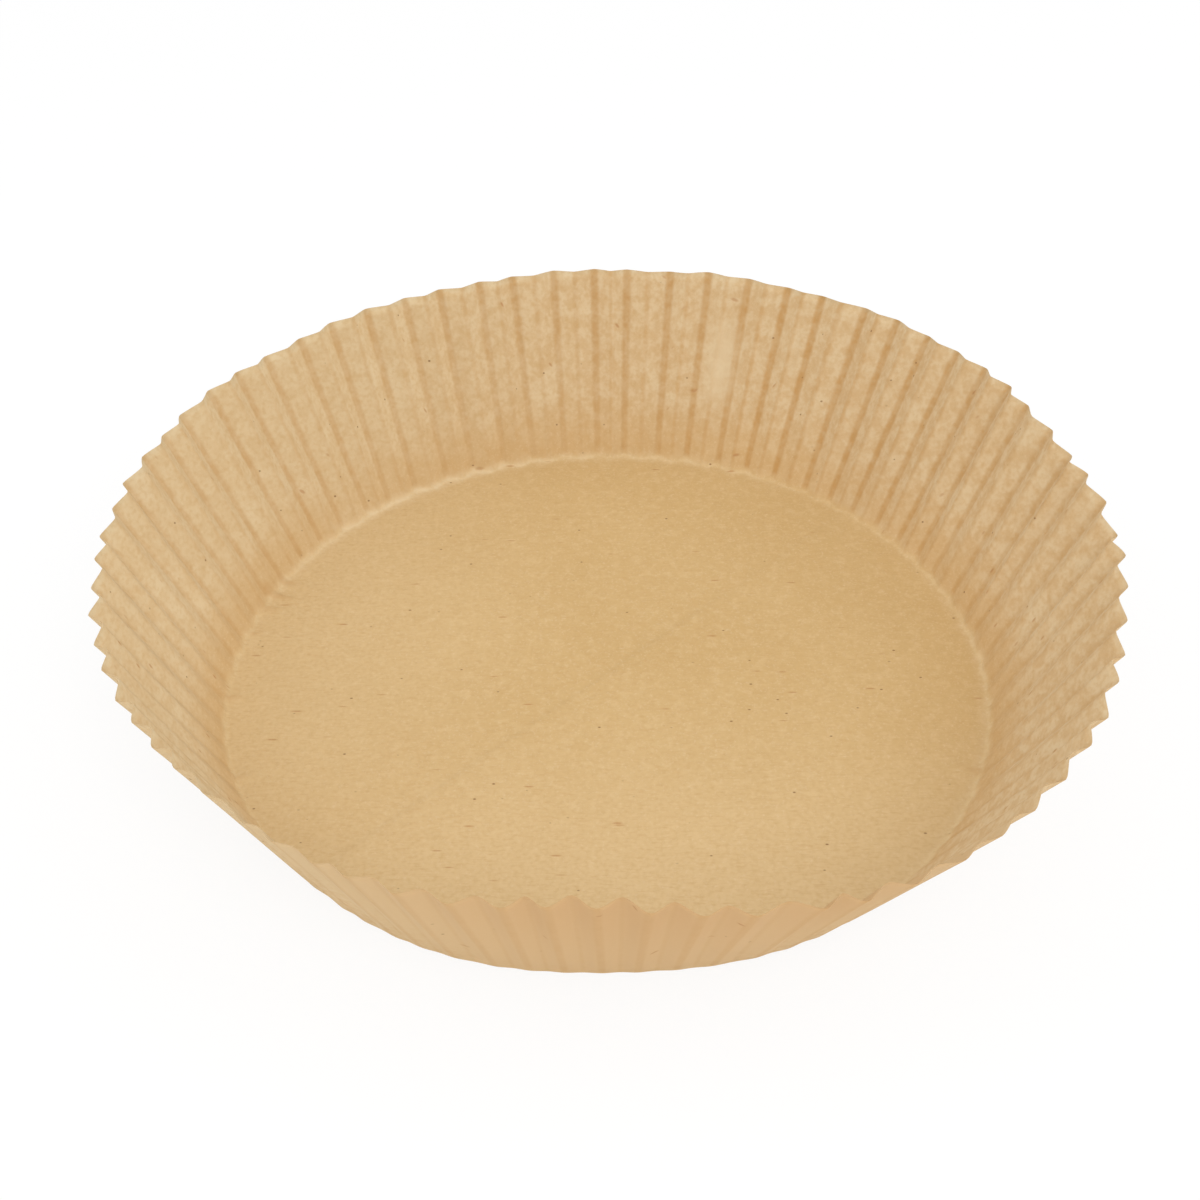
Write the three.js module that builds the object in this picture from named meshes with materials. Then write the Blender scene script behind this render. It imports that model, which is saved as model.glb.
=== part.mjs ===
// Paper liner for an air fryer basket: one round sheet of greaseproof kraft paper, pressed into
// an open cup with a flat base and a flaring wall of straight flutes.
// Millimetres, +Z up. The origin is the middle of the base's underside.
import * as THREE from "three";

// The sheet, flat, and the cup that it is pressed into.
const sheetDiameter = 250;
const paperThickness = 0.06;
const baseDiameter = 160; // across the crease
const rimDiameter = 197.2; // across the rim, at the middle of the flutes

// The flutes. Each is an outer fold, a side, an inner fold and a side.
const fluteCount = 72;
const foldShare = 0.22; // how much of a flute's pitch the rounded back of each fold takes

// Where the open rim has been pushed out or in from a true circle, and how far. Angles run
// from +X towards +Y, and the spread is the angle at which a bulge has fallen to a third.
const rimBulges = [
  { angle: 60, spread: 28, out: 3.2 },
  { angle: 304, spread: 24, out: 3.8 },
  { angle: 268, spread: 9, out: -1.6 },
];

// How finely the wall is divided from the crease to the rim.
const wallBands = 6;

const paperColour = 0xd1b07a;
const paperRoughness = 0.92;

const baseRadius = baseDiameter / 2;
const wallSlant = sheetDiameter / 2 - baseRadius;
const wallSpread = rimDiameter / 2 - baseRadius;
const columnsPerFlute = 4;
const columnCount = fluteCount * columnsPerFlute;

// The angle of each fold line, and whether it lies on the outer or the inner side of the flutes.
function foldLine(column) {
  const flute = Math.floor(column / columnsPerFlute);
  const edge = [
    { place: -foldShare / 2, side: 1 },
    { place: foldShare / 2, side: 1 },
    { place: 0.5 - foldShare / 2, side: -1 },
    { place: 0.5 + foldShare / 2, side: -1 },
  ][column % columnsPerFlute];
  return { angle: ((flute + edge.place) * 2 * Math.PI) / fluteCount, side: edge.side };
}

// How far the rim stands out from its true circle at an angle.
function bulgeAt(angle) {
  let out = 0;
  for (const bulge of rimBulges) {
    const turn = angle - THREE.MathUtils.degToRad(bulge.angle);
    const nearest = Math.atan2(Math.sin(turn), Math.cos(turn));
    out += bulge.out * Math.exp(-((nearest / THREE.MathUtils.degToRad(bulge.spread)) ** 2));
  }
  return out;
}

// How far the wall leans outwards from upright at an angle, in radians.
function leanAt(angle) {
  return Math.asin((wallSpread + bulgeAt(angle)) / wallSlant);
}

// The depth that a flute needs to take up the sheet's spare length, at a distance up the wall.
function fluteDepth(slant, middleRadius) {
  const pitch = (2 * Math.PI * middleRadius) / fluteCount;
  const paperLength = (2 * Math.PI * (baseRadius + slant)) / fluteCount;
  const sideRun = pitch * (0.5 - foldShare);
  const sideLength = paperLength / 2 - pitch * foldShare;
  return Math.sqrt(Math.max(0, sideLength ** 2 - sideRun ** 2));
}

// A point on the middle of the paper's thickness: a distance up the wall, on a fold line.
function wallPoint(slant, column) {
  const { angle, side } = foldLine(column);
  const lean = leanAt(angle);
  const middleRadius = baseRadius + slant * Math.sin(lean);
  const out = (side * fluteDepth(slant, middleRadius)) / 2;
  const radius = middleRadius + out * Math.cos(lean);
  const height = paperThickness / 2 + slant * Math.cos(lean) - out * Math.sin(lean);
  return new THREE.Vector3(radius * Math.cos(angle), radius * Math.sin(angle), height);
}

// The middle of the sheet as one open surface: the base's centre, then ring after ring of
// points from the crease to the rim. Its faces look into the cup.
function middleSheet() {
  const points = [new THREE.Vector3(0, 0, paperThickness / 2)];
  for (let ring = 0; ring <= wallBands; ring++) {
    const slant = wallSlant * (ring / wallBands) ** 2; // closer rings where the flutes start
    for (let column = 0; column < columnCount; column++) points.push(wallPoint(slant, column));
  }
  const faces = [];
  for (let column = 0; column < columnCount; column++) {
    faces.push(0, ringPoint(0, column), ringPoint(0, column + 1));
    for (let ring = 0; ring < wallBands; ring++) {
      const low = ringPoint(ring, column);
      const lowNext = ringPoint(ring, column + 1);
      const high = ringPoint(ring + 1, column);
      const highNext = ringPoint(ring + 1, column + 1);
      faces.push(low, high, highNext, low, highNext, lowNext);
    }
  }
  return { points, faces };
}

// The number of a point in the sheet's list, from its ring and its column.
function ringPoint(ring, column) {
  return 1 + ring * columnCount + (column % columnCount);
}

// The way from the middle of the paper to its upper skin at each point, half a thickness long
// on the wall. At the crease it is mitred, so that the base stays flat on both sides.
function skinOffsets(sheet) {
  const surface = new THREE.BufferGeometry().setFromPoints(sheet.points);
  surface.setIndex(sheet.faces);
  surface.computeVertexNormals();
  const normals = surface.getAttribute("normal");
  return sheet.points.map((point, i) => {
    if (i === 0) return new THREE.Vector3(0, 0, paperThickness / 2);
    if (i <= columnCount) {
      const { angle } = foldLine(i - 1);
      const wallRise = Math.PI / 2 - leanAt(angle);
      const inward = (-paperThickness / 2) * Math.tan(wallRise / 2);
      return new THREE.Vector3(
        inward * Math.cos(angle), inward * Math.sin(angle), paperThickness / 2,
      );
    }
    return new THREE.Vector3().fromBufferAttribute(normals, i).multiplyScalar(paperThickness / 2);
  });
}

// The solid sheet: its upper skin, its lower skin and the cut edge round the rim.
function linerGeometry() {
  const sheet = middleSheet();
  const offsets = skinOffsets(sheet);
  const upper = sheet.points.map((point, i) => point.clone().add(offsets[i]));
  const lower = sheet.points.map((point, i) => point.clone().sub(offsets[i]));
  const under = upper.length; // the number that the lower skin's points start at
  const faces = [...sheet.faces];
  for (let i = 0; i < sheet.faces.length; i += 3) {
    const [a, b, c] = sheet.faces.slice(i, i + 3);
    faces.push(under + a, under + c, under + b);
  }
  for (let column = 0; column < columnCount; column++) {
    const edge = ringPoint(wallBands, column);
    const edgeNext = ringPoint(wallBands, column + 1);
    faces.push(edgeNext, edge, under + edge, edgeNext, under + edge, under + edgeNext);
  }
  const geometry = new THREE.BufferGeometry().setFromPoints([...upper, ...lower]);
  geometry.setIndex(faces);
  geometry.computeVertexNormals();
  return geometry;
}

const paper = new THREE.MeshStandardMaterial({
  color: paperColour,
  roughness: paperRoughness,
  metalness: 0,
  flatShading: true,
});

const liner = new THREE.Mesh(linerGeometry(), paper);
liner.name = "liner";

const part = new THREE.Group();
part.add(liner);

export default part;
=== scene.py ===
import math
from types import SimpleNamespace

import bpy
import numpy as np
from mathutils import Matrix, Vector


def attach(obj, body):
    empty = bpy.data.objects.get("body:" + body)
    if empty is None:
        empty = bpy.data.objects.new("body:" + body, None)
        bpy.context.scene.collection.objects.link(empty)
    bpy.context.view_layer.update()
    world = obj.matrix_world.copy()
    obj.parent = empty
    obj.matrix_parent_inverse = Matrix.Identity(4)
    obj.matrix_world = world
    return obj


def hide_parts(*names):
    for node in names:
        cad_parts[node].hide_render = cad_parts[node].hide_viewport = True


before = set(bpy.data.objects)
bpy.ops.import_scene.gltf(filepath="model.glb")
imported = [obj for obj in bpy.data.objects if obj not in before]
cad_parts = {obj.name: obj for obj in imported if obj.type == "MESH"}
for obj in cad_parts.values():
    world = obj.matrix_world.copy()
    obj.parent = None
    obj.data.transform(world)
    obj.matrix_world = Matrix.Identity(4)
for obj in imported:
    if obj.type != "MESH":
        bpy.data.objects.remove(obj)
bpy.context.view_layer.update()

# Sizes, in metres. The sheet and the cup have the CAD model's sizes.
MM = 0.001
BASE_RADIUS = 80 * MM
SHEET_RADIUS = 125 * MM
RIM_RADIUS = 98.6 * MM  # at the middle of the flutes
PAPER = 0.06 * MM
FLUTES = 72
CREASE = 1.4 * MM  # the length of sheet that bends round the crease
WALL = SHEET_RADIUS - BASE_RADIUS
SPREAD = RIM_RADIUS - BASE_RADIUS

# How finely the sheet is divided. A crowding of 1 is even rings, and more crowds them towards
# the crease.
COLUMNS_PER_FLUTE = 12
BASE_RINGS = 20
BASE_CROWDING = 1.7
CREASE_RINGS = 8
WALL_RINGS = 27
WALL_CROWDING = 1.25
COLUMNS = FLUTES * COLUMNS_PER_FLUTE

# Angles run from +X towards +Y. A place round the cup is an angle and a spread in degrees, and
# often how strong something is there. At the spread it has fallen to about a third. An ease is
# the power by which an effect comes in or lets go along the sheet: the higher, the later.

# The flutes: the angle of the first outer fold, how sharp the folds are, where 1 is a knife edge,
# and the flutes' depth against what would take up the sheet's spare length.
FIRST_FOLD = math.radians(-18.0)
FOLD_SHARPNESS = 0.97
FOLD_DEPTH_LOW = 1.25  # just above the crease
FOLD_DEPTH_RIM = 0.76  # less, because the folds' rounded backs take more of the length there
FOLD_DEPTH_EASE = 2

# The front, where the folds have opened, and what they come down to there.
FOLDS_OPENED = (270, 55)
OPENED_SHARPNESS = 0.70
OPENED_DEPTH_LOW = 0.5
OPENED_DEPTH_RIM = 0.62

# How far each flute strays from the even ones, at most: its place as a share of a flute, its
# depth as a share, the angle by which it leans sideways at the rim, and the sheet's cut edge.
PITCH_STRAY = 0.11
DEPTH_STRAY = 0.16
SWAY = math.radians(0.35)
CUT_STRAY = 0.4 * MM
SEED = 11

# The pressed folds don't sit evenly round the crease. The drift in degrees is a steady part
# and the cosine and sine of one and of two turns.
DRIFT_STEADY = 4.6
DRIFT_WAVES = [(-4.3, 1.8), (0.7, -1.0)]

# Where the rim, and the crease, stand out from a true circle, in millimetres.
RIM_BULGES = [
    (60, 30, 3.0), (118, 20, -2.0), (17, 15, -2.3), (328, 10, 0.9), (304, 24, 3.6),
    (268, 9, -1.6), (222, 14, -0.8), (190, 20, -0.2),
]
CREASE_BULGES = [(200, 26, 1.2), (242, 14, 0.4), (272, 16, -1.5)]
CREASE_BULGE_EASE = 3

# At the back the outer folds end a little higher than the inner ones, in millimetres.
RIM_STEP = [(95, 55, 0.2)]
RIM_STEP_EASE = 3

# The sheet was pressed a little off its middle: the wall is longest at this angle, by this much.
OFF_CENTRE_ANGLE = math.radians(75)
OFF_CENTRE = 1.4 * MM

# The folds draw the crease in and out where they start, less so where they have opened: by how
# much, how much more at the back in millimetres, how unevenly as a share, how far from the crease
# it shows, and how far up the wall it ends.
SCALLOP = 0.15 * MM
SCALLOP_MORE = [(100, 50, 0.4)]
SCALLOP_STRAY = 0.6
SCALLOP_REACH = 2.5 * MM
SCALLOP_TOP = 2 * CREASE

# Small wrinkles across the crease, with their heights in millimetres, and how far they reach.
WRINKLES = [
    (154, 0.9, 0.35), (158, 1.0, 0.6), (161.5, 0.8, 0.8), (165, 1.1, 0.5), (171, 0.9, 0.4),
    (186, 1.2, 0.5), (203, 1.0, 0.4), (338, 1.3, 0.5),
]
WRINKLE_REACH = 4.5 * MM

# How much of the flutes' depth is lost: all the way up at the back, below the rim at the sides
# where the wall is pressed flatter, and all the way up where it has come open at the front.
SHALLOW_BACK = [(97, 20, 0.2)]
FLATTER = [(198, 32, 0.4), (345, 38, 0.4)]
FLATTER_EASE = 4
OPENED_OUT = [(237, 14, 0.62), (306, 11, 0.5)]

# The base isn't quite flat: the height of its waves, how they end at the crease, their size, how
# their lengths vary as shares of it, and their number.
BASE_WAVE = 0.35 * MM
BASE_WAVE_EASE = 6
BASE_WAVE_SIZE = 60 * MM
BASE_WAVE_LENGTHS = (0.7, 1.6)
BASE_WAVES = 9

# How dark the folds' lines are, which are partly pressed marks and partly painted shade in the
# folds: fully round this place, a share of that elsewhere, less by these amounts at the front and
# sides, and fading towards the crease at the back.
FOLD_MARK_AND_SHADE_PLACE = (64, 50)
FOLD_MARK_AND_SHADE_ELSEWHERE = 0.6
LESS_FOLD_MARK_AND_SHADE = [(345, 40, 0.35), (262, 40, 0.3), (200, 30, 0.4)]
FADING_DOWN = [(106, 24, 0.6)]
FADING_EASE = 0.7

# Where a painted highlight runs along the crease, and how wide the highlight is.
CREASE_HIGHLIGHT = [(128, 30, 1.0), (80, 25, 0.45), (0, 40, 0.5)]
CREASE_HIGHLIGHT_WIDTH = 1.4 * MM

# A pale patch on one flute at the back. As shares of the wall, its middle and how far up and down
# it goes, and then how sharply it ends there.
FLUTE_PATCH = (72.5, 2.3)
FLUTE_PATCH_UP = 0.55
FLUTE_PATCH_REACH = 0.22
FLUTE_PATCH_SHARPNESS = 4

# The paper's noises: the scale, the detail and the roughness.
NOISES = {
    "clouds": (30, 3, 0.5),
    "patches": (95, 2, 0.6),
    "blots": (380, 2, 0.65),
    "mottle": (1050, 2, 0.6),
    "fine": (2100, 1, 0.5),
}
GRAIN_CELLS = (420, 2400, 1400)  # the grain runs along X
GRAIN_NOISE = (1.0, 2, 0.6)

# Where each effect comes in: two values of what it follows, and its strength at each of them.
FADES = {
    # These follow X, X without its sign, or Y, in metres.
    # Painted light: paler to the front on the base, and to the left on the base and the wall.
    "painted light front": (0.0, -0.07, 0.0, 0.6),
    "painted light left": (0.0, -0.07, 0.0, 0.45),
    # Where the painted shade just above the crease shows: at the back and at the sides.
    "crease shade at back": (0.02, 0.08, 0.0, 1.0),
    "crease shade at sides": (0.04, 0.08, 0.0, 1.0),
    "front shade": (-0.074, -0.098, 0.0, 0.8),
    "blots kept": (-0.082, -0.07, 0.0, 1.0),
    "patches kept": (-0.07, -0.05, 0.0, 1.0),
    "mottle kept": (-0.082, -0.07, 0.15, 1.0),
    # These follow the share of the way up the wall.
    "wall": (0.0, 0.05, 0.0, 1.0),
    # How the painted shade just above the crease fades up the wall.
    "above the crease": (0.02, 0.4, 0.65, 0.0),
    "grain kept": (0.0, 0.02, 1.0, 0.0),
    # These follow a noise.
    "base clouds": (0.3, 0.7, 0.0, 1.0),
    "base blots": (0.45, 0.7, 0.0, 0.4),
    "wall blots": (0.34, 0.66, 0.0, 1.0),
    "patches": (0.52, 0.72, 0.0, 0.4),
    "mottle": (0.42, 0.7, 0.0, 0.36),
    "grain": (0.5, 0.75, 0.0, 0.3),
    "fine": (0.5, 0.8, 0.0, 0.3),
    # Noises break up the fold lines, part pressed mark and part painted shade, and the painted
    # highlight along the crease.
    "fold mark and shade breaks": (0.3, 0.6, 0.85, 0.6),
    "crease highlight breaks": (0.35, 0.6, 0.35, 0.65),
    # These follow a mark of the sheet.
    # The fold lines, part pressed mark and part painted shade in the folds.
    "outer folds": (0.4, 0.82, 0.0, 1.0),
    "inner folds": (-0.95, -0.6, 0.55, 0.0),
    "wrinkles": (0.15, 0.6, 0.0, 0.3),
}
FRONT_BLOTS = (0.3, 0.3, 0.3, 1.0)  # the even share that stands for the blots at the front
FLUTE_PATCH_SHARE = 0.6

# The paper's colours, 0 to 255 per channel.
COLOURS = {
    "base": (206, 172, 118),
    "base cloud": (210, 177, 124),
    "base blot": (221, 191, 142),
    # Painted light: the base paler to the front and the left.
    "painted light base": (225, 198, 153),
    "wall": (211, 180, 135),
    "wall blot": (220, 195, 155),
    "front shade": (208, 169, 120),
    # Painted light: the wall paler to the left.
    "painted light wall": (220, 198, 157),
    "wall patch": (226, 206, 169),
    # Painted shade just above the crease.
    "above the crease": (206, 168, 113),
    "mottle": (200, 163, 110),
    "grain": (196, 156, 100),
    "fine": (232, 210, 172),
    # The fold lines, part pressed mark and part painted shade in the folds.
    "fold": (192, 147, 88),
    # A painted highlight along the crease.
    "painted crease highlight": (230, 208, 170),
    "wrinkle": (188, 142, 86),
    "flute_patch": (226, 205, 168),
    "fibre": (172, 112, 58),
    "speck": (120, 78, 38),
}

# The flecks of the paper, at most one to a cell: the cells' scales along X, Y and Z and their
# turn about Z, how a fleck ends between two distances from its middle, and the channel of its
# cell's chance colour that decides whether it shows.
FLECKS = [
    {
        "colour": "fibre", "strength": 0.5, "cells": (95, 480, 150), "turn": math.radians(14),
        "edge": (0.05, 0.14), "channel": "Green", "chosen": (0.5, 0.8),
    },
    {
        "colour": "speck", "strength": 0.75, "cells": (190, 300, 240), "turn": 0.0,
        "edge": (0.03, 0.08), "channel": "Red", "chosen": (0.3, 0.6),
    },
]

# The paper's surface.
ROUGHNESS = 0.78
SPECULAR = 0.25
THROUGH_SHARE = 0.25  # how much of the light goes through
BUMP_STRENGTH = 0.35
BUMP_HEIGHT = 0.12 * MM
GRAIN_HEIGHT = 2.0  # against the mottle

# The floor, in metres. To the camera it glows white: by this share near the liner, where the
# shadow lies, and fully where the fade from the middle ends.
FLOOR_SIZE = 6.0
FLOOR_DROP = 0.02 * MM
FLOOR_GREY = (0.9, 0.9, 0.9, 1.0)
FLOOR_GLOW = 0.85
FLOOR_FADE = (0.4, 1.6)
WHITE = (1.0, 1.0, 1.0, 1.0)

# The lamps: where each hangs, in metres, and its power in watts.
LAMPS = [
    ("front_softbox", (0.25, -0.85, 1.05), 6.5),
    ("right_softbox", (1.1, 0.0, 0.8), 2.2),
    ("left_softbox", (-1.1, 0.0, 0.9), 2.4),
]
LAMP_SIZE = 0.7
LAMP_AIM = (0.0, 0.0, 0.02)
SKY_STRENGTH = 0.84
MOST_BOUNCES = 7

# The camera, from the outlines of the base and the rim in the photograph.
CAMERA_PLACE = (0.0, -0.2550, 0.2353)
CAMERA_AIM = (-0.0021, 0.0241, 0.0)
CAMERA_ROLL = math.radians(-0.36)
CAMERA_NEAREST = 0.01
LENS_MM = 48.5
SENSOR_MM = 36.0


def between(first, second, share):
    return first + (second - first) * share


def hump(angle, centre, spread):
    """1 at a place round the cup, falling smoothly to either side."""
    turn = angle - math.radians(centre)
    nearest = np.arctan2(np.sin(turn), np.cos(turn))
    return np.exp(-((nearest / math.radians(spread)) ** 2))


def humps(angle, places):
    """The strengths at some places round the cup, added up."""
    return sum(strength * hump(angle, centre, spread) for centre, spread, strength in places)


def falling(distance, reach):
    """1 at no distance, falling smoothly to about a third at the reach."""
    return np.exp(-((distance / reach) ** 2))


def drift(angle):
    """How far the folds have drifted from even spacing, in radians."""
    total = np.full_like(angle, DRIFT_STEADY)
    for turns, (along, across) in enumerate(DRIFT_WAVES, start=1):
        total += along * np.cos(turns * angle) + across * np.sin(turns * angle)
    return np.radians(total)


def base_waves(draw, x, y):
    """How high the base's waves stand at each point, from 0 to 1: a sum of long waves, each in
    a direction of its own."""
    total = np.zeros_like(x)
    for _ in range(BASE_WAVES):
        heading = draw.uniform(0, 2 * math.pi)
        length = BASE_WAVE_SIZE * draw.uniform(*BASE_WAVE_LENGTHS)
        phase = draw.uniform(0, 2 * math.pi)
        along = x * math.cos(heading) + y * math.sin(heading)
        total += np.sin(2 * math.pi * along / length + phase)
    return 0.5 + 0.5 * np.clip(total / math.sqrt(2 * BASE_WAVES), -1, 1)


def between_flutes(values, place):
    """Values given for each flute, read smoothly at places counted in flutes."""
    low = np.floor(place).astype(int)
    share = place - low
    ease = share * share * (3 - 2 * share)
    return between(values[low % FLUTES], values[(low + 1) % FLUTES], ease)


def flute_columns(draw):
    """What each column of points from the centre to the rim has of its own."""
    place = np.arange(COLUMNS) / COLUMNS_PER_FLUTE

    def stray(most):
        return between_flutes(draw.uniform(-most, most, FLUTES), place)

    even = FIRST_FOLD + 2 * math.pi * place / FLUTES
    angle = even + drift(even) + stray(PITCH_STRAY) * 2 * math.pi / FLUTES
    opened = hump(angle, *FOLDS_OPENED)
    sharpness = between(FOLD_SHARPNESS, OPENED_SHARPNESS, opened)
    outward = np.cos(2 * math.pi * place)
    return SimpleNamespace(
        angle=angle,
        opened=opened,
        # From 1 at an outer fold to -1 at an inner one: as the folds are shaped, and evenly.
        fold=np.arcsin(sharpness * outward) / np.arcsin(sharpness),
        even_fold=np.arcsin(outward) * 2 / math.pi,
        depth_share=(1 + stray(DEPTH_STRAY)) * (1 - humps(angle, SHALLOW_BACK)),
        sway=stray(SWAY),
        cut=OFF_CENTRE * np.cos(angle - OFF_CENTRE_ANGLE) + stray(CUT_STRAY),
        scallop=(SCALLOP + humps(angle, SCALLOP_MORE) * MM) * (1 - opened) * (1 + stray(SCALLOP_STRAY)),
        lean=np.arcsin((SPREAD + humps(angle, RIM_BULGES) * MM) / WALL),
    )


def ring_places(cut):
    """How far each point is from the sheet's centre along the paper, ring by ring, and the share
    of the wall that lies below it."""
    def steps(count):
        return np.arange(1, count + 1) / count

    base = BASE_RADIUS * (1 - (1 - steps(BASE_RINGS)) ** BASE_CROWDING) - CREASE / 2
    crease = BASE_RADIUS + CREASE * (steps(CREASE_RINGS) - 0.5)
    wall = BASE_RADIUS + CREASE / 2 + (WALL - CREASE / 2) * steps(WALL_RINGS) ** WALL_CROWDING
    along = np.concatenate([base, crease, wall])[:, None]
    up_share = np.clip(along - BASE_RADIUS, 0, None) / WALL
    return along + cut * up_share, up_share


def smooth_cup(along, lean):
    """The radius and the height of the cup without its flutes, and how far the sheet has turned
    upwards at each point."""
    rise = math.pi / 2 - lean
    bend = CREASE / rise
    turned = np.clip((along - BASE_RADIUS + CREASE / 2) / bend, 0, rise)
    past = np.clip(along - BASE_RADIUS - CREASE / 2, 0, None)
    radius = np.minimum(along, BASE_RADIUS - CREASE / 2)
    radius = radius + bend * np.sin(turned) + past * np.cos(rise)
    height = bend * (1 - np.cos(turned)) + past * np.sin(rise)
    return radius, height, turned


def flute_depth(along, up_share, columns):
    """The flutes' depth: what takes up the sheet's spare length, and the share of it that the
    folds keep."""
    up_wall = np.clip(along - BASE_RADIUS, 0, None)
    pitch = math.pi * (BASE_RADIUS + up_wall * np.sin(columns.lean)) / FLUTES
    paper_length = math.pi * (BASE_RADIUS + up_wall) / FLUTES
    depth = np.sqrt(np.clip(paper_length**2 - pitch**2, 0, None))
    low = between(FOLD_DEPTH_LOW, OPENED_DEPTH_LOW, columns.opened)
    rim = between(FOLD_DEPTH_RIM, OPENED_DEPTH_RIM, columns.opened)
    flatter = humps(columns.angle, FLATTER) * (1 - up_share**FLATTER_EASE)
    kept = between(rim, low, (1 - up_share) ** FOLD_DEPTH_EASE) * columns.depth_share * (1 - flatter)
    return depth * kept * (1 - humps(columns.angle, OPENED_OUT))


def paper_marks(from_crease, up_share, columns, wrinkle):
    """What the paper's shader reads at each point."""
    angle = columns.angle
    # How strong the fold lines are round the cup: part pressed mark and part painted shade.
    fold_mark_and_shade = between(FOLD_MARK_AND_SHADE_ELSEWHERE, 1, hump(angle, *FOLD_MARK_AND_SHADE_PLACE)) - humps(angle, LESS_FOLD_MARK_AND_SHADE)
    fading = humps(angle, FADING_DOWN) * (1 - up_share) ** FADING_EASE
    up_patch = np.exp(-(((up_share - FLUTE_PATCH_UP) / FLUTE_PATCH_REACH) ** FLUTE_PATCH_SHARPNESS))
    return {
        "wall": up_share,
        "fold": columns.even_fold,
        "fold_mark_and_shade": fold_mark_and_shade * (1 - fading),
        # A painted highlight along the crease.
        "crease_highlight": humps(angle, CREASE_HIGHLIGHT) * falling(from_crease, CREASE_HIGHLIGHT_WIDTH),
        "flute_patch": up_patch * hump(angle, *FLUTE_PATCH),
        "wrinkle": wrinkle,
    }


def sheet_grid():
    """The middle of the sheet as rings of points from near the centre to the rim, and the
    marks of each point."""
    draw = np.random.default_rng(SEED)
    columns = flute_columns(draw)
    along, up_share = ring_places(columns.cut)
    radius, height, turned = smooth_cup(along, columns.lean)

    from_crease = along - BASE_RADIUS
    crease_bulge = humps(columns.angle, CREASE_BULGES) * MM
    radius = radius + crease_bulge * np.clip(along / BASE_RADIUS, 0, 1) ** CREASE_BULGE_EASE
    scalloped = falling(from_crease, SCALLOP_REACH) * (from_crease < SCALLOP_TOP)
    radius = radius + columns.scallop * columns.fold * scalloped
    wrinkle = humps(columns.angle, WRINKLES) * falling(from_crease, WRINKLE_REACH)
    height = height + wrinkle * MM

    out = columns.fold * flute_depth(along, up_share, columns) / 2
    radius = radius + out * np.sin(turned)
    height = height - out * np.cos(turned)
    height = height + humps(columns.angle, RIM_STEP) * MM * columns.fold * up_share**RIM_STEP_EASE

    turn = columns.angle + columns.sway * up_share
    x = radius * np.cos(turn)
    y = radius * np.sin(turn)
    inside = np.clip(1 - (along / BASE_RADIUS) ** BASE_WAVE_EASE, 0, 1)
    height = height + inside * BASE_WAVE * base_waves(draw, x, y)
    points = np.stack([x, y, height + PAPER / 2], axis=-1)
    marks = paper_marks(from_crease, up_share, columns, wrinkle)
    return points, {name: np.broadcast_to(mark, x.shape) for name, mark in marks.items()}


def grid_normals(points):
    """The unit normals of a closed grid of rings, which look into the cup."""
    round_cup = np.roll(points, -1, axis=1) - np.roll(points, 1, axis=1)
    up_cup = np.gradient(points, axis=0)
    normals = np.cross(up_cup, round_cup)
    normals /= np.linalg.norm(normals, axis=-1, keepdims=True)
    return normals


def two_skins(points):
    """The points of the upper skin and then of the lower one, each with a centre point first."""
    normals = grid_normals(points)
    centre_height = points[0, :, 2].mean()
    skins = []
    for side in (1, -1):
        skin = (points + normals * side * PAPER / 2).reshape(-1, 3)
        skins.append(np.vstack([[0, 0, centre_height + side * PAPER / 2], skin]))
    return skins


def solid_faces(rings, under):
    """The faces of both skins and of the cut edge. The lower skin's points start at under."""
    def at(ring, column):
        return 1 + ring * COLUMNS + column % COLUMNS

    faces = []
    for column in range(COLUMNS):
        faces.append((0, at(0, column), at(0, column + 1)))
        for ring in range(rings - 1):
            faces.append((
                at(ring, column), at(ring + 1, column),
                at(ring + 1, column + 1), at(ring, column + 1),
            ))
    solid = faces + [tuple(under + i for i in reversed(face)) for face in faces]
    for column in range(COLUMNS):
        edge = at(rings - 1, column)
        after = at(rings - 1, column + 1)
        solid.append((after, edge, under + edge, under + after))
    return solid


def liner_mesh():
    """The sheet as one closed solid: an upper skin, a lower skin and the cut edge."""
    points, marks = sheet_grid()
    skins = two_skins(points)
    mesh = bpy.data.meshes.new("paper_liner")
    mesh.from_pydata(np.vstack(skins).tolist(), [], solid_faces(len(points), len(skins[0])))
    mesh.polygons.foreach_set("use_smooth", [True] * len(mesh.polygons))
    for name, values in marks.items():
        one_skin = np.concatenate([[0.0], values.reshape(-1)])
        attribute = mesh.attributes.new(name, "FLOAT", "POINT")
        attribute.data.foreach_set("value", np.tile(one_skin, 2).astype(np.float32))
    mesh.update()
    return mesh


def colour(name):
    """One of the paper's colours as the linear value that a shader takes."""
    linear = []
    for value in COLOURS[name]:
        share = value / 255
        linear.append(share / 12.92 if share <= 0.04045 else ((share + 0.055) / 1.055) ** 2.4)
    return (*linear, 1.0)


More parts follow.
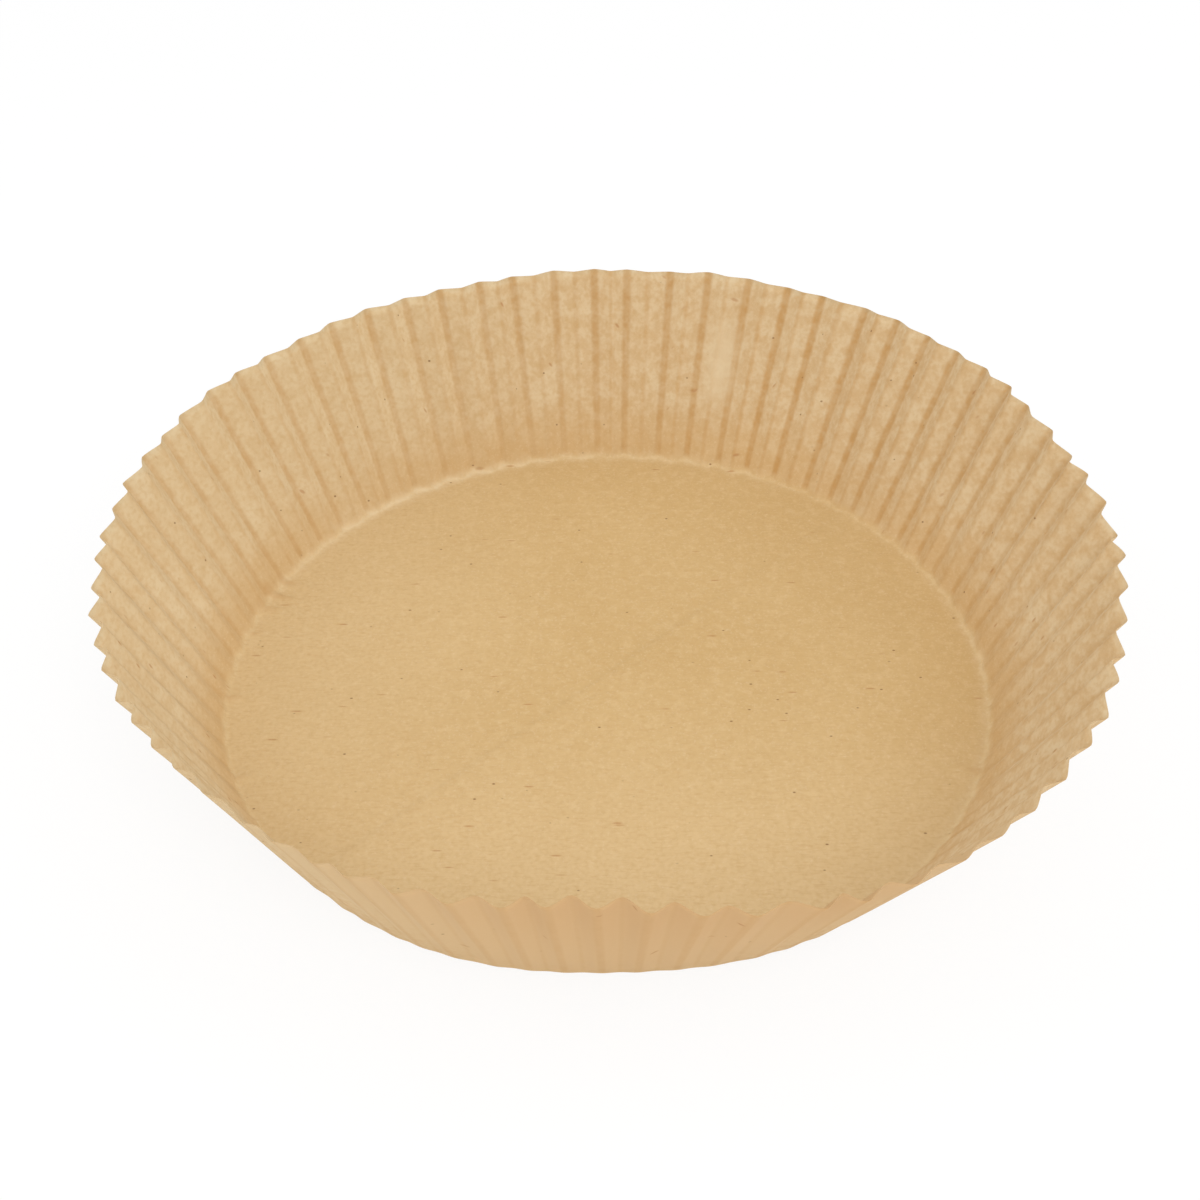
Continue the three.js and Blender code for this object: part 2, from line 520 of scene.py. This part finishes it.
class Shader:
    """A few short calls for building a node tree."""

    def __init__(self, name):
        self.material = bpy.data.materials.new(name)
        self.material.use_nodes = True
        self.tree = self.material.node_tree
        self.tree.nodes.clear()
        self.output = self.tree.nodes.new("ShaderNodeOutputMaterial")

    def node(self, kind, **inputs):
        made = self.tree.nodes.new("ShaderNode" + kind)
        for name, value in inputs.items():
            self.put(made.inputs[name.replace("_", " ")], value)
        return made

    def put(self, socket, value):
        if isinstance(value, bpy.types.NodeSocket):
            self.tree.links.new(value, socket)
        else:
            socket.default_value = value

    def math(self, operation, first, second=0.0):
        made = self.node("Math")
        made.operation = operation
        self.put(made.inputs[0], first)
        self.put(made.inputs[1], second)
        return made.outputs[0]

    def times(self, first, *others):
        for other in others:
            first = self.math("MULTIPLY", first, other)
        return first

    def ramp(self, value, low, high, out_low=0.0, out_high=1.0):
        made = self.node(
            "MapRange", Value=value, From_Min=low, From_Max=high, To_Min=out_low, To_Max=out_high,
        )
        made.interpolation_type = "SMOOTHSTEP"
        return made.outputs["Result"]

    def fade(self, effect, value):
        """How strongly one of the effects in FADES shows at a value of what it follows."""
        return self.ramp(value, *FADES[effect])

    def mix(self, share, first, second):
        made = self.node("Mix")
        made.data_type = "RGBA"
        self.put(made.inputs["Factor"], share)
        self.put(made.inputs[6], first)
        self.put(made.inputs[7], second)
        return made.outputs[2]

    def tint(self, tone, name, *shares):
        """A tone mixed with one of the paper's colours by the product of the shares."""
        return self.mix(self.times(*shares), tone, colour(name))

    def blend(self, share, first, second):
        """Two surfaces mixed by a share."""
        made = self.node("MixShader", Fac=share)
        self.put(made.inputs[1], first.outputs[0])
        self.put(made.inputs[2], second.outputs[0])
        return made

    def noise(self, where, scale, detail, roughness):
        made = self.node("TexNoise", Vector=where, Scale=scale, Detail=detail, Roughness=roughness)
        return made.outputs["Fac"]

    def stretched(self, where, scale, turn=0.0):
        """Places scaled along X, Y and Z, and turned about Z."""
        return self.node("Mapping", Vector=where, Scale=scale, Rotation=(0, 0, turn)).outputs[0]

    def attribute(self, name):
        made = self.node("Attribute")
        made.attribute_name = name
        return made.outputs["Fac"]

    def finish(self, surface):
        self.put(self.output.inputs["Surface"], surface.outputs[0])
        return self.material


def paper_patterns(s):
    """The places, marks and noises that the paper's colour follows."""
    where = s.node("TexCoord").outputs["Object"]
    place = s.node("SeparateXYZ", Vector=where)
    grain = s.noise(s.stretched(where, GRAIN_CELLS), *GRAIN_NOISE)
    wall = s.attribute("wall")
    return SimpleNamespace(
        where=where,
        x=place.outputs["X"],
        y=place.outputs["Y"],
        wall=wall,
        on_wall=s.fade("wall", wall),
        grain_share=s.times(s.fade("grain", grain), s.fade("grain kept", wall)),
        mottle_kept=s.fade("mottle kept", place.outputs["Y"]),
        **{name: s.noise(where, *settings) for name, settings in NOISES.items()},
    )


def paper_tone(s, p):
    """The paper's colour before its folds and marks. It is paler to the front and the left, which is
    painted light, and the wall is darker and warmer just above the crease at the back and the sides,
    which is painted shade, as is the darker front of the wall. The wall's noises fade at the front,
    where it is seen nearly edge-on."""
    # Painted light: paler to the front and the left.
    painted_light_left = s.fade("painted light left", p.x)
    base = s.mix(s.fade("base clouds", p.clouds), colour("base"), colour("base cloud"))
    base = s.tint(base, "base blot", s.fade("base blots", p.blots))
    base = s.tint(base, "painted light base", s.math("MAXIMUM", s.fade("painted light front", p.y), painted_light_left))

    blots = s.mix(s.fade("blots kept", p.y), FRONT_BLOTS, s.fade("wall blots", p.blots))
    # Painted shade just above the crease at the back and the sides.
    sideways = s.math("ABSOLUTE", p.x)
    warm = s.math("MAXIMUM", s.fade("crease shade at back", p.y), s.fade("crease shade at sides", sideways))
    wall = s.tint(colour("wall"), "wall blot", blots)
    wall = s.tint(wall, "front shade", s.fade("front shade", p.y))
    wall = s.tint(wall, "painted light wall", painted_light_left)
    wall = s.tint(wall, "wall patch", s.fade("patches", p.patches), s.fade("patches kept", p.y))
    wall = s.tint(wall, "above the crease", s.fade("above the crease", p.wall), warm)

    tone = s.mix(p.on_wall, base, wall)
    tone = s.tint(tone, "mottle", s.fade("mottle", p.mottle), p.mottle_kept)
    tone = s.tint(tone, "grain", p.grain_share)
    return s.tint(tone, "fine", s.fade("fine", p.fine), p.mottle_kept)


def with_marks(s, p, tone):
    """A tone with the folds' warm lines, which are partly pressed marks and partly painted shade in the
    folds and are fainter along the inner folds, and with a painted highlight along the crease, the
    wrinkles and a pale patch on one flute."""
    fold = s.attribute("fold")
    # The fold lines, part pressed mark and part painted shade in the folds.
    line = s.math("ADD", s.fade("outer folds", fold), s.fade("inner folds", fold))
    fold_breaks = s.fade("fold mark and shade breaks", p.blots)
    tone = s.tint(tone, "fold", line, s.attribute("fold_mark_and_shade"), fold_breaks, p.on_wall)
    # A painted highlight along the crease.
    tone = s.tint(tone, "painted crease highlight", s.attribute("crease_highlight"), s.fade("crease highlight breaks", p.blots))
    tone = s.tint(tone, "wrinkle", s.fade("wrinkles", s.attribute("wrinkle")))
    return s.tint(tone, "flute_patch", s.attribute("flute_patch"), FLUTE_PATCH_SHARE)


def with_flecks(s, p, tone):
    """A tone with the paper's dark fibres and specks."""
    for fleck in FLECKS:
        cells = s.stretched(p.where, fleck["cells"], fleck["turn"])
        fleck_cells = s.node("TexVoronoi", Vector=cells, Scale=1.0)
        near = s.ramp(fleck_cells.outputs["Distance"], *fleck["edge"], 1.0, 0.0)
        chance = s.node("SeparateColor", Color=fleck_cells.outputs["Color"])
        chosen = s.ramp(chance.outputs[fleck["channel"]], *fleck["chosen"])
        tone = s.tint(tone, fleck["colour"], near, chosen, fleck["strength"])
    return tone


def kraft_paper():
    """Thin unbleached greaseproof paper: a cloudy warm tan with a fine grain and dark flecks,
    which lets some light through."""
    s = Shader("kraft_greaseproof")
    p = paper_patterns(s)
    tone = with_flecks(s, p, with_marks(s, p, paper_tone(s, p)))
    height = s.times(s.math("ADD", s.times(p.grain_share, GRAIN_HEIGHT), p.mottle), p.mottle_kept)
    bump = s.node("Bump", Strength=BUMP_STRENGTH, Distance=BUMP_HEIGHT, Height=height).outputs[0]
    surface = s.node(
        "BsdfPrincipled", Base_Color=tone, Roughness=ROUGHNESS, Specular_IOR_Level=SPECULAR,
        Normal=bump,
    )
    through = s.node("BsdfTranslucent", Color=tone, Normal=bump)
    # Light that has gone into the paper leaves through the other skin.
    leaving = s.node("BsdfTransparent", Color=WHITE)
    inside = s.node("NewGeometry").outputs["Backfacing"]
    return s.finish(s.blend(inside, s.blend(THROUGH_SHARE, surface, through), leaving))


def white_floor():
    """A white floor that the camera sees as white and that keeps the liner's soft shadow. Far
    from the liner it runs into the white of the sky."""
    s = Shader("white_floor")
    ray = s.node("LightPath")
    seen = s.math("MAXIMUM", ray.outputs["Is Camera Ray"], ray.outputs["Is Glossy Ray"])
    seen = s.math("MAXIMUM", seen, ray.outputs["Is Transmission Ray"])
    distance = s.node("VectorMath")
    distance.operation = "LENGTH"
    s.put(distance.inputs[0], s.node("TexCoord").outputs["Object"])
    glow_share = s.ramp(distance.outputs["Value"], *FLOOR_FADE, FLOOR_GLOW, 1.0)
    matt = s.node("BsdfDiffuse", Color=FLOOR_GREY)
    glow = s.node("Emission", Color=WHITE, Strength=1.0)
    return s.finish(s.blend(s.times(seen, glow_share), matt, glow))


def add_object(name, data):
    made = bpy.data.objects.new(name, data)
    bpy.context.collection.objects.link(made)
    return made


def aimed(place, aim):
    """The turn that points a lamp or a camera from a place at an aim."""
    return (Vector(aim) - Vector(place)).to_track_quat("-Z", "Y")


def add_floor():
    half = FLOOR_SIZE / 2
    corners = [(-half, -half), (half, -half), (half, half), (-half, half)]
    mesh = bpy.data.meshes.new("floor")
    mesh.from_pydata([(x, y, -FLOOR_DROP) for x, y in corners], [], [(0, 1, 2, 3)])
    mesh.materials.append(white_floor())
    add_object("floor", mesh)


def add_softbox(name, place, power):
    light = bpy.data.lights.new(name, "AREA")
    light.shape = "SQUARE"
    light.size = LAMP_SIZE
    light.energy = power
    lamp = add_object(name, light)
    lamp.location = place
    lamp.rotation_euler = aimed(place, LAMP_AIM).to_euler()


def add_sky():
    """A white sky. The camera sees it as white, and it lights the liner by its own strength."""
    world = bpy.data.worlds.new("studio")
    world.use_nodes = True
    nodes = world.node_tree.nodes
    links = world.node_tree.links
    background = nodes["Background"]
    background.inputs["Color"].default_value = WHITE
    strength = nodes.new("ShaderNodeMapRange")
    strength.inputs["To Min"].default_value = SKY_STRENGTH
    strength.inputs["To Max"].default_value = 1.0
    ray = nodes.new("ShaderNodeLightPath")
    links.new(ray.outputs["Is Camera Ray"], strength.inputs["Value"])
    links.new(strength.outputs["Result"], background.inputs["Strength"])
    bpy.context.scene.world = world


def add_light():
    for name, place, power in LAMPS:
        add_softbox(name, place, power)
    add_sky()
    bpy.context.scene.cycles.max_bounces = MOST_BOUNCES


def add_camera():
    data = bpy.data.cameras.new("camera")
    data.sensor_fit = "HORIZONTAL"
    data.sensor_width = SENSOR_MM
    data.lens = LENS_MM
    data.clip_start = CAMERA_NEAREST
    camera = add_object("camera", data)
    turn = aimed(CAMERA_PLACE, CAMERA_AIM).to_matrix().to_4x4()
    roll = Matrix.Rotation(CAMERA_ROLL, 4, "Z")
    camera.matrix_world = Matrix.Translation(CAMERA_PLACE) @ turn @ roll
    bpy.context.scene.camera = camera


def add_liner():
    mesh = liner_mesh()
    mesh.materials.append(kraft_paper())
    liner = add_object("paper_liner", mesh)
    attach(liner, "root")
    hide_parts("liner")


add_camera()
add_light()
add_floor()
add_liner()
bpy.context.scene.view_settings.view_transform = "Standard"
